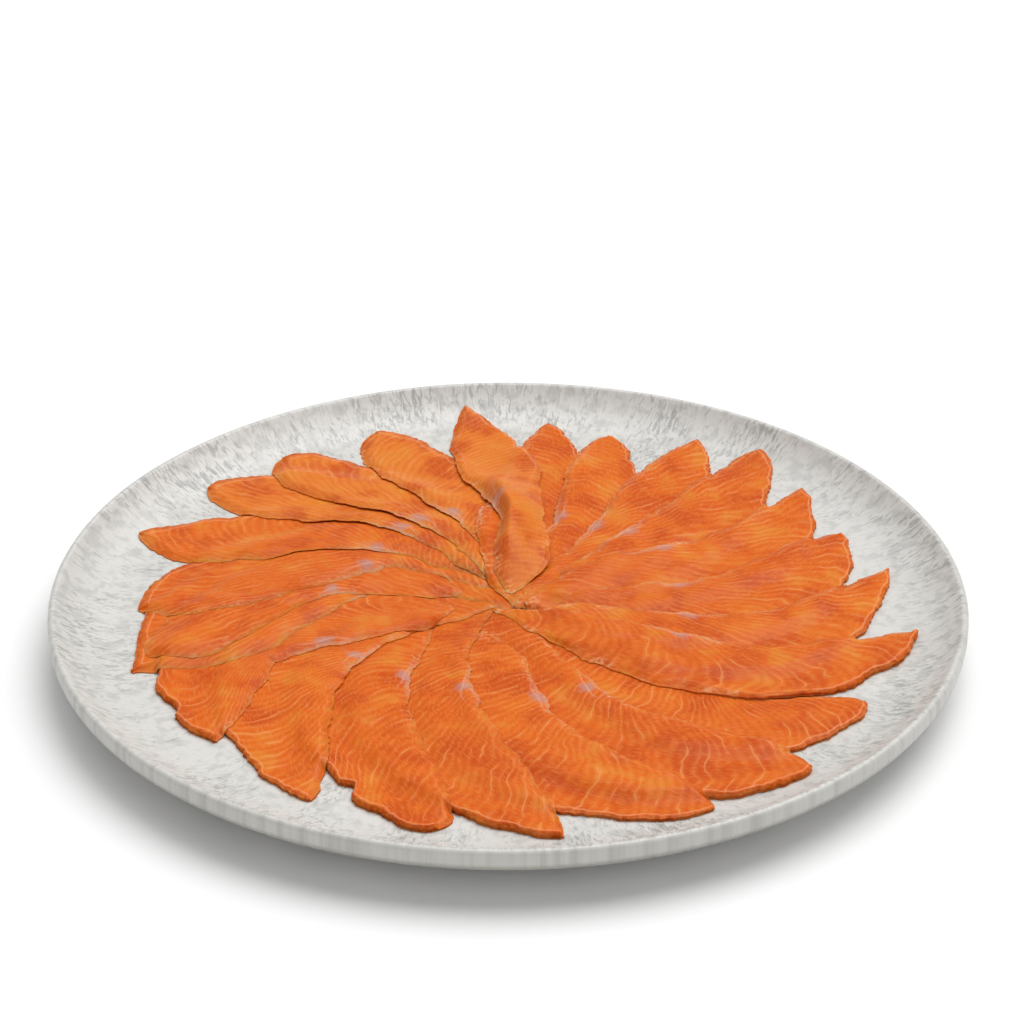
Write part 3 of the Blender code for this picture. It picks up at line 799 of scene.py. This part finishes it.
# %% [markdown]
# ## Raw salmon
# The flesh is orange muscle, made of flakes that are parted by pale sheets of fat. Its colour
# drifts from slice to slice and within a slice: deeper where the muscle is dense, more amber
# towards the belly. Positions are read from the vertices in mm, so a noise scale of 0.075 makes
# patches of 1 / 0.075 = 13 mm that stay with the fish when a slice bends.

# %% Raw salmon: colours of the muscle
flesh, tree = new_material("raw_salmon_flesh")
lie = add(tree, "Attribute", {}, attribute_name="lie").outputs["Vector"]
mark = add(tree, "Attribute", {}, attribute_name="mark").outputs["Vector"]
grain = add(tree, "Attribute", {}, attribute_name="grain").outputs["Fac"]
rim = add(tree, "Attribute", {}, attribute_name="rim").outputs["Fac"]
slant = add(tree, "Attribute", {}, attribute_name="slant").outputs["Fac"]
tone = add(tree, "Attribute", {}, attribute_name="tone").outputs["Fac"]
crumbs_and_glints = add(tree, "Attribute", {}, attribute_name="crumbs_and_glints").outputs["Fac"]

# broad shifts of colour, about 29 mm across
broad = add(tree, "TexNoise", {"Vector": lie, "Scale": 0.035, "Detail": 2.0}).outputs[0]
tone_shift = add(tree, "Math", {0: tone, 1: 0.3}, operation="MULTIPLY").outputs[0]
shift = add(tree, "Math", {0: broad, 1: tone_shift}, operation="ADD").outputs[0]
depth = add(tree, "MapRange", {"Value": shift, "From Min": 0.35, "From Max": 0.95}).outputs[0]
colour = add(tree, "Mix", {0: depth, 6: linear("#dc6a18"), 7: linear("#d45d12")}, data_type="RGBA").outputs[2]
# slices from the belly side are more amber as a whole
belly = add(tree, "MapRange", {"Value": tone, "From Min": -0.2, "From Max": -1.0, "To Max": 0.7}).outputs[0]
colour = add(tree, "Mix", {0: belly, 6: colour, 7: linear("#df7d2a")}, data_type="RGBA").outputs[2]
# deep and amber patches about 13 mm across
blotch = add(tree, "TexNoise", {"Vector": lie, "Scale": 0.075, "Detail": 3.0}).outputs[0]
deep = add(tree, "MapRange", {"Value": blotch, "From Min": 0.46, "From Max": 0.66, "To Max": 0.85},
           interpolation_type="SMOOTHSTEP").outputs[0]
colour = add(tree, "Mix", {0: deep, 6: colour, 7: linear("#c2480b")}, data_type="RGBA").outputs[2]
amber = add(tree, "MapRange", {"Value": blotch, "From Min": 0.46, "From Max": 0.30, "To Max": 0.60},
            interpolation_type="SMOOTHSTEP").outputs[0]
colour = add(tree, "Mix", {0: amber, 6: colour, 7: linear("#dc8a2e")}, data_type="RGBA").outputs[2]
print("flesh nodes for the muscle:", len(tree.nodes))

# %% [markdown]
# ## Fat between the flakes
# A line of fat is drawn where the flake number that each vertex carries passes a whole number.
# Noise makes the lines wander, thicken and fade as they do in the fish, and every other one is
# weaker. Each flake is paler near its fat and deeper in its core.

# %% Fat lines, and the shading of each flake
# the lines wander over lengths of about 14 mm, by up to three flakes
warp = add(tree, "TexNoise", {"Vector": lie, "Scale": 0.07, "Detail": 2.0}).outputs[0]
warp_flakes = add(tree, "Math", {0: warp, 1: 3.0}, operation="MULTIPLY").outputs[0]
flake = add(tree, "Math", {0: warp_flakes, 1: grain}, operation="ADD").outputs[0]
within = add(tree, "Math", {0: flake, 1: 0.5}, operation="PINGPONG").outputs[0]
# stretches of about 11 mm where the fat is there or missing
breaks = add(tree, "TexNoise", {"Vector": lie, "Scale": 0.09, "Detail": 2.0, "Roughness": 0.6}).outputs[0]
broken = add(tree, "MapRange", {"Value": breaks, "From Min": 0.40, "From Max": 0.62},
             interpolation_type="SMOOTHSTEP").outputs[0]
# 0.10 to 0.22 of a 3 mm flake to either side, fading outwards: a line some 0.4 mm wide
width = add(tree, "MapRange", {"Value": breaks, "From Min": 0.35, "From Max": 0.75,
                               "To Min": 0.10, "To Max": 0.22}).outputs[0]
fat_line = add(tree, "MapRange", {"Value": within, "From Min": width, "From Max": 0.0, "To Max": 1.0},
               interpolation_type="SMOOTHSTEP").outputs[0]
second = add(tree, "Math", {0: flake, 1: 1.0}, operation="PINGPONG").outputs[0]
weaker = add(tree, "Math", {0: second, 1: -0.72, 2: 1.0}, operation="MULTIPLY_ADD").outputs[0]
fat_line = add(tree, "Math", {0: fat_line, 1: weaker}, operation="MULTIPLY").outputs[0]
fat = add(tree, "Math", {0: fat_line, 1: broken}, operation="MULTIPLY").outputs[0]
fat_share = add(tree, "Math", {0: fat, 1: 0.54}, operation="MULTIPLY").outputs[0]
colour = add(tree, "Mix", {0: fat_share, 6: colour, 7: linear("#e6a066")}, data_type="RGBA").outputs[2]
halo = add(tree, "MapRange", {"Value": within, "From Min": 0.40, "From Max": 0.0, "To Max": 0.20}).outputs[0]
colour = add(tree, "Mix", {0: halo, 6: colour, 7: linear("#de8238")}, data_type="RGBA").outputs[2]
core = add(tree, "MapRange", {"Value": within, "From Min": 0.24, "From Max": 0.5, "To Max": 0.28},
           interpolation_type="SMOOTHSTEP").outputs[0]
colour = add(tree, "Mix", {0: core, 6: colour, 7: linear("#c24d0e")}, data_type="RGBA").outputs[2]
print("flesh nodes with fat:", len(tree.nodes))

# %% [markdown]
# ## Fibres
# Fine fibres lie inside the flakes. In the fish they are some 0.5 mm apart; here they are drawn
# 0.7 mm wide and 2.4 mm long, so that they still show from arm's length.

# %% Fibres
fine_place = add(tree, "VectorMath", {0: lie, 1: (0.42, 1.35, 1.0)}, operation="MULTIPLY").outputs[0]
fine = add(tree, "TexNoise", {"Vector": fine_place, "Scale": 1.0, "Detail": 2.0}).outputs[0]
fibre = add(tree, "MapRange", {"Value": fine, "From Min": 0.52, "From Max": 0.66, "To Max": 0.38},
            interpolation_type="SMOOTHSTEP").outputs[0]
colour = add(tree, "Mix", {0: fibre, 6: colour, 7: linear("#e08a44")}, data_type="RGBA").outputs[2]
print("flesh nodes with fibres:", len(tree.nodes))

# %% [markdown]
# ## The trace of the fillet's middle
# Along the middle of the fillet runs a line of dark muscle. Every slice cuts it once, and leaves
# a grey-violet spot about 3 mm wide and 9 mm long with pale tails. A pale seam of fat follows
# the thin edge for 2 cm to both sides of it. The spot is an ellipse whose edge noise frays.

# %% Violet spot, tails and seam
squeezed = add(tree, "VectorMath", {0: mark, 1: (0.22, 0.34, 1.0)}, operation="MULTIPLY").outputs[0]
mark_far = add(tree, "VectorMath", {0: squeezed}, operation="LENGTH").outputs["Value"]
# the fraying is about 2.2 mm across
mark_noise = add(tree, "TexNoise", {"Vector": lie, "Scale": 0.45, "Detail": 3.0}).outputs[0]
mark_fray = add(tree, "Math", {0: mark_noise, 1: 1.6}, operation="MULTIPLY").outputs[0]
mark_edge = add(tree, "Math", {0: mark_far, 1: mark_fray}, operation="ADD").outputs[0]
violet = add(tree, "MapRange", {"Value": mark_edge, "From Min": 2.10, "From Max": 1.00, "To Max": 0.74},
             interpolation_type="SMOOTHSTEP").outputs[0]
colour = add(tree, "Mix", {0: violet, 6: colour, 7: linear("#b78b84")}, data_type="RGBA").outputs[2]
mark_split = add(tree, "SeparateXYZ", {0: mark}).outputs
tail_near = add(tree, "Math", {0: mark_split["Y"]}, operation="ABSOLUTE").outputs[0]
tail_line = add(tree, "MapRange", {"Value": tail_near, "From Min": 0.55, "From Max": 0.05},
                interpolation_type="SMOOTHSTEP").outputs[0]
tail_reach = add(tree, "Math", {0: mark_split["X"]}, operation="ABSOLUTE").outputs[0]
tail_fade = add(tree, "MapRange", {"Value": tail_reach, "From Min": 16.0, "From Max": 4.0, "To Max": 0.4},
                interpolation_type="SMOOTHSTEP").outputs[0]
tail = add(tree, "Math", {0: tail_line, 1: tail_fade}, operation="MULTIPLY").outputs[0]
colour = add(tree, "Mix", {0: tail, 6: colour, 7: linear("#e5aa90")}, data_type="RGBA").outputs[2]
seam_out = add(tree, "MapRange", {"Value": rim, "From Min": 1.9, "From Max": 0.7},
               interpolation_type="SMOOTHSTEP").outputs[0]
seam_side = add(tree, "MapRange", {"Value": mark_split["Y"], "From Min": -2.5, "From Max": -1.0}).outputs[0]
seam_fade = add(tree, "MapRange", {"Value": tail_reach, "From Min": 21.0, "From Max": 6.0, "To Max": 0.60},
                interpolation_type="SMOOTHSTEP").outputs[0]
seam_rag = add(tree, "MapRange", {"Value": mark_noise, "From Min": 0.30, "From Max": 0.55}).outputs[0]
seam = add(tree, "Math", {0: seam_out, 1: seam_side}, operation="MULTIPLY").outputs[0]
seam = add(tree, "Math", {0: seam, 1: seam_fade}, operation="MULTIPLY").outputs[0]
seam = add(tree, "Math", {0: seam, 1: seam_rag}, operation="MULTIPLY").outputs[0]
colour = add(tree, "Mix", {0: seam, 6: colour, 7: linear("#d89a7c")}, data_type="RGBA").outputs[2]
print("flesh nodes with the trace:", len(tree.nodes))

# %% [markdown]
# ## Where the knife went through
# A steep cut is deeper in colour than the face, partly the cut flesh itself and partly painted shade
# of the cut face, with a painted highlight where it meets the face. Both show only where the cut
# stands steep; a thin edge is pale instead, because light comes through.

# %% Cut edge
steep = add(tree, "Attribute", {}, attribute_name="steep").outputs["Fac"]
down = add(tree, "Math", {0: rim, 1: slant}, operation="DIVIDE").outputs[0]
# the steep cut is painted deeper: partly the cut flesh's own colour, partly painted shade of the cut face
steep_face_and_shade = add(tree, "MapRange", {"Value": down, "From Min": 0.85, "From Max": 0.2, "To Max": 0.8},
               interpolation_type="SMOOTHSTEP").outputs[0]
cut = add(tree, "Math", {0: steep_face_and_shade, 1: steep}, operation="MULTIPLY").outputs[0]
# torn bits in the cut, about 1.4 mm across (1 m / 700)
object_place = add(tree, "TexCoord", {}).outputs["Object"]
crumb = add(tree, "TexNoise", {"Vector": object_place, "Scale": 700.0, "Detail": 2.0}).outputs[0]
crumb_share = add(tree, "MapRange", {"Value": crumb, "From Min": 0.42, "From Max": 0.62}).outputs[0]
cut_and_shade_colour = add(tree, "Mix", {0: crumb_share, 6: linear("#a8430c"), 7: linear("#cb6a20")},
                 data_type="RGBA").outputs[2]
colour = add(tree, "Mix", {0: cut, 6: colour, 7: cut_and_shade_colour}, data_type="RGBA").outputs[2]
# painted highlight: a pale line along the shoulder where a steep cut meets the face
past_shoulder = add(tree, "Math", {0: rim, 1: slant}, operation="SUBTRACT").outputs[0]
off_shoulder = add(tree, "Math", {0: past_shoulder}, operation="ABSOLUTE").outputs[0]
shoulder = add(tree, "MapRange", {"Value": off_shoulder, "From Min": 0.5, "From Max": 0.0, "To Max": 0.5},
               interpolation_type="SMOOTHSTEP").outputs[0]
painted_highlight_line = add(tree, "Math", {0: shoulder, 1: steep}, operation="MULTIPLY").outputs[0]
colour = add(tree, "Mix", {0: painted_highlight_line, 6: colour, 7: linear("#e8a070")}, data_type="RGBA").outputs[2]
thin_edge = add(tree, "MapRange", {"Value": rim, "From Min": 0.9, "From Max": 0.1, "To Max": 0.32},
                interpolation_type="SMOOTHSTEP").outputs[0]
thin_edge = add(tree, "Math", {0: thin_edge, 1: broken}, operation="MULTIPLY").outputs[0]
colour = add(tree, "Mix", {0: thin_edge, 6: colour, 7: linear("#e68c4c")}, data_type="RGBA").outputs[2]
print("flesh nodes with the cut:", len(tree.nodes))

# %% [markdown]
# ## Crumbs of fat and painted glints
# Soft fat smears off the knife: pale crumbs cling to the thin edge and to the frayed root of a
# slice, but not to a steep cut. The same pale specks stand in for glints of light on the wet edges,
# so they are laid thicker on the slices at the right and the back, whose edges catch the light.

# %% Crumbs and painted glints
# crumbs and painted glints about 1.6 mm across (1 mm / 0.62)
crumb_glint_place = add(tree, "VectorMath", {0: lie, "Scale": 0.62}, operation="SCALE").outputs[0]
bits = add(tree, "TexNoise", {"Vector": crumb_glint_place, "Scale": 1.0, "Detail": 3.0,
                              "Roughness": 0.65}).outputs[0]
crumb_glint_share = add(tree, "MapRange", {"Value": bits, "From Min": 0.48, "From Max": 0.62,
                                    "To Max": crumbs_and_glints}).outputs[0]
crumb_glint_near = add(tree, "MapRange", {"Value": rim, "From Min": 3.2, "From Max": 1.2},
                interpolation_type="SMOOTHSTEP").outputs[0]
from_root = add(tree, "SeparateXYZ", {0: lie}).outputs["X"]
frayed = add(tree, "MapRange", {"Value": from_root, "From Min": 8.0, "From Max": 2.0}).outputs[0]
patchy = add(tree, "Math", {0: crumb_glint_near, 1: broken}, operation="MULTIPLY").outputs[0]
off_rim = add(tree, "MapRange", {"Value": rim, "From Min": 0.10, "From Max": 0.40}).outputs[0]
at_edge = add(tree, "Math", {0: patchy, 1: off_rim}, operation="MULTIPLY").outputs[0]
crumb_glint_near = add(tree, "Math", {0: at_edge, 1: frayed}, operation="MAXIMUM").outputs[0]
crumb_glint_share = add(tree, "Math", {0: crumb_glint_share, 1: crumb_glint_near}, operation="MULTIPLY").outputs[0]
not_steep = add(tree, "Math", {0: 1.0, 1: steep}, operation="SUBTRACT").outputs[0]
crumb_glint_share = add(tree, "Math", {0: crumb_glint_share, 1: not_steep}, operation="MULTIPLY").outputs[0]
colour = add(tree, "Mix", {0: crumb_glint_share, 6: colour, 7: linear("#eaa878")}, data_type="RGBA").outputs[2]
print("flesh nodes with crumbs:", len(tree.nodes))

# %% [markdown]
# ## A moist surface
# Light goes a few millimetres into raw fish, red deepest, so it gets subsurface scattering. Its
# surface is moist: the roughness changes from wet film to drier spot, and fat lines and fibres
# stand a little proud.

# %% Surface of the flesh
wet = add(tree, "MapRange", {"Value": breaks, "From Min": 0.3, "From Max": 0.7,
                             "To Min": 0.24, "To Max": 0.36}).outputs[0]
fat_height = add(tree, "Math", {0: fat, 1: 0.6}, operation="MULTIPLY").outputs[0]
heights = add(tree, "Math", {0: fat_height, 1: fine}, operation="ADD").outputs[0]
relief = add(tree, "Bump", {"Strength": 0.35, "Distance": 0.0004, "Height": heights}).outputs[0]
body = add(tree, "BsdfPrincipled", {
    "Base Color": colour, "Roughness": wet, "IOR": 1.38, "Normal": relief,
    "Subsurface Weight": 0.55, "Subsurface Radius": (1.0, 0.35, 0.12), "Subsurface Scale": 2.0 * MM,
    "Specular IOR Level": 0.14})
add(tree, "OutputMaterial", {"Surface": body.outputs[0]})
for piece in slices.values():
    piece.data.materials.append(flesh)
print("flesh nodes:", len(tree.nodes))

# %% [markdown]
# ## Tie the pieces to the part
# Nothing on this dish moves, so every piece rides on the one body. Each fine piece stands for
# the plain solid of the same name, which is hidden.

# %% Ride and replace
pieces = [("plate", plate, "speckled_stoneware")]
pieces += [(name, piece, "salmon_flesh") for name, piece in slices.items()]
for name, piece, slot in pieces:
    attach(piece, "root")
    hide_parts(name)
print("pieces tied:", len(pieces))

# %% [markdown]
# ## Table and light
# The dish stands on a plain white surface, as in a light tent. Three far, wide lights stand for
# the window at the back right, which throws the pale shadow at the front left, for a white card
# at the back and for a weaker one in front. A white surrounding fills the rest.

# %% Table and lights
TABLE = [(-4, -3, 0), (4, -3, 0), (4, 6, 0), (-4, 6, 0)]         # corners, metres
FLOOR_WHITE = 0.9                                                # share of light the table gives back
SURROUNDING = 0.37                                               # brightness of the tent itself
table_mesh = bpy.data.meshes.new("table_top")
table_mesh.from_pydata(TABLE, [], [(0, 1, 2, 3)])
table_top = bpy.data.objects.new("table_top", table_mesh)
bpy.context.scene.collection.objects.link(table_top)
paper, tree = new_material("white_card")
card_place = add(tree, "TexCoord", {}).outputs["Object"]
# shades in the card about 33 mm across (1 m / 30)
mottle = add(tree, "TexNoise", {"Vector": card_place, "Scale": 30.0}).outputs[0]
white = add(tree, "Mix", {0: mottle, 6: linear("#f6f6f6"), 7: linear("#f3f3f3")}, data_type="RGBA").outputs[2]
body = add(tree, "BsdfPrincipled", {"Base Color": white, "Roughness": 0.9})
add(tree, "OutputMaterial", {"Surface": body.outputs[0]})
table_mesh.materials.append(paper)

world = bpy.data.worlds.new("light_tent")
bpy.context.scene.world = world
world.use_nodes = True
tent = world.node_tree.nodes["Background"].inputs
tent["Color"].default_value = linear("#ffffff")
tent["Strength"].default_value = SURROUNDING


def soft_light(name, bearing, height, spread, share):
    """A far light, angles in degrees; share is what it adds to the brightness of the table."""
    lamp = bpy.data.lights.new(name, "SUN")
    lamp.angle = math.radians(spread)
    lamp.energy = share * math.pi / (FLOOR_WHITE * math.sin(math.radians(height)))
    made = bpy.data.objects.new(name, lamp)
    made.rotation_euler = (0.0, math.radians(90 - height), math.radians(bearing))
    bpy.context.scene.collection.objects.link(made)
    return made


lights = [soft_light("window_back_right", bearing=48, height=63, spread=50, share=0.49),
          soft_light("card_back", bearing=104, height=66, spread=55, share=0.16),
          soft_light("card_front", bearing=285, height=38, spread=60, share=0.06)]
print("lights:", [light.name for light in lights])

# %% [markdown]
# ## Camera
# The camera looks down at 30 degrees from one metre away through a long lens, so the plate's
# ellipse stays calm and the slices at the back are nearly as large as those in front.

# %% Camera
LENS, FILM = 112.7, 36.0                                         # mm
CAMERA_PLACE = (0.0, -0.9047, 0.5524)                            # metres
CAMERA_TILT, CAMERA_TURN = 60.847, -0.083                        # degrees from straight down, and sideways
camera_data = bpy.data.cameras.new("camera")
camera_data.lens, camera_data.sensor_width = LENS, FILM
camera = bpy.data.objects.new("camera", camera_data)
camera.location = CAMERA_PLACE
camera.rotation_euler = (math.radians(CAMERA_TILT), 0.0, math.radians(CAMERA_TURN))
bpy.context.scene.collection.objects.link(camera)
bpy.context.scene.camera = camera
bpy.context.scene.view_settings.view_transform = "Standard"
print("camera to the middle, m:", round(camera.location.length, 3))
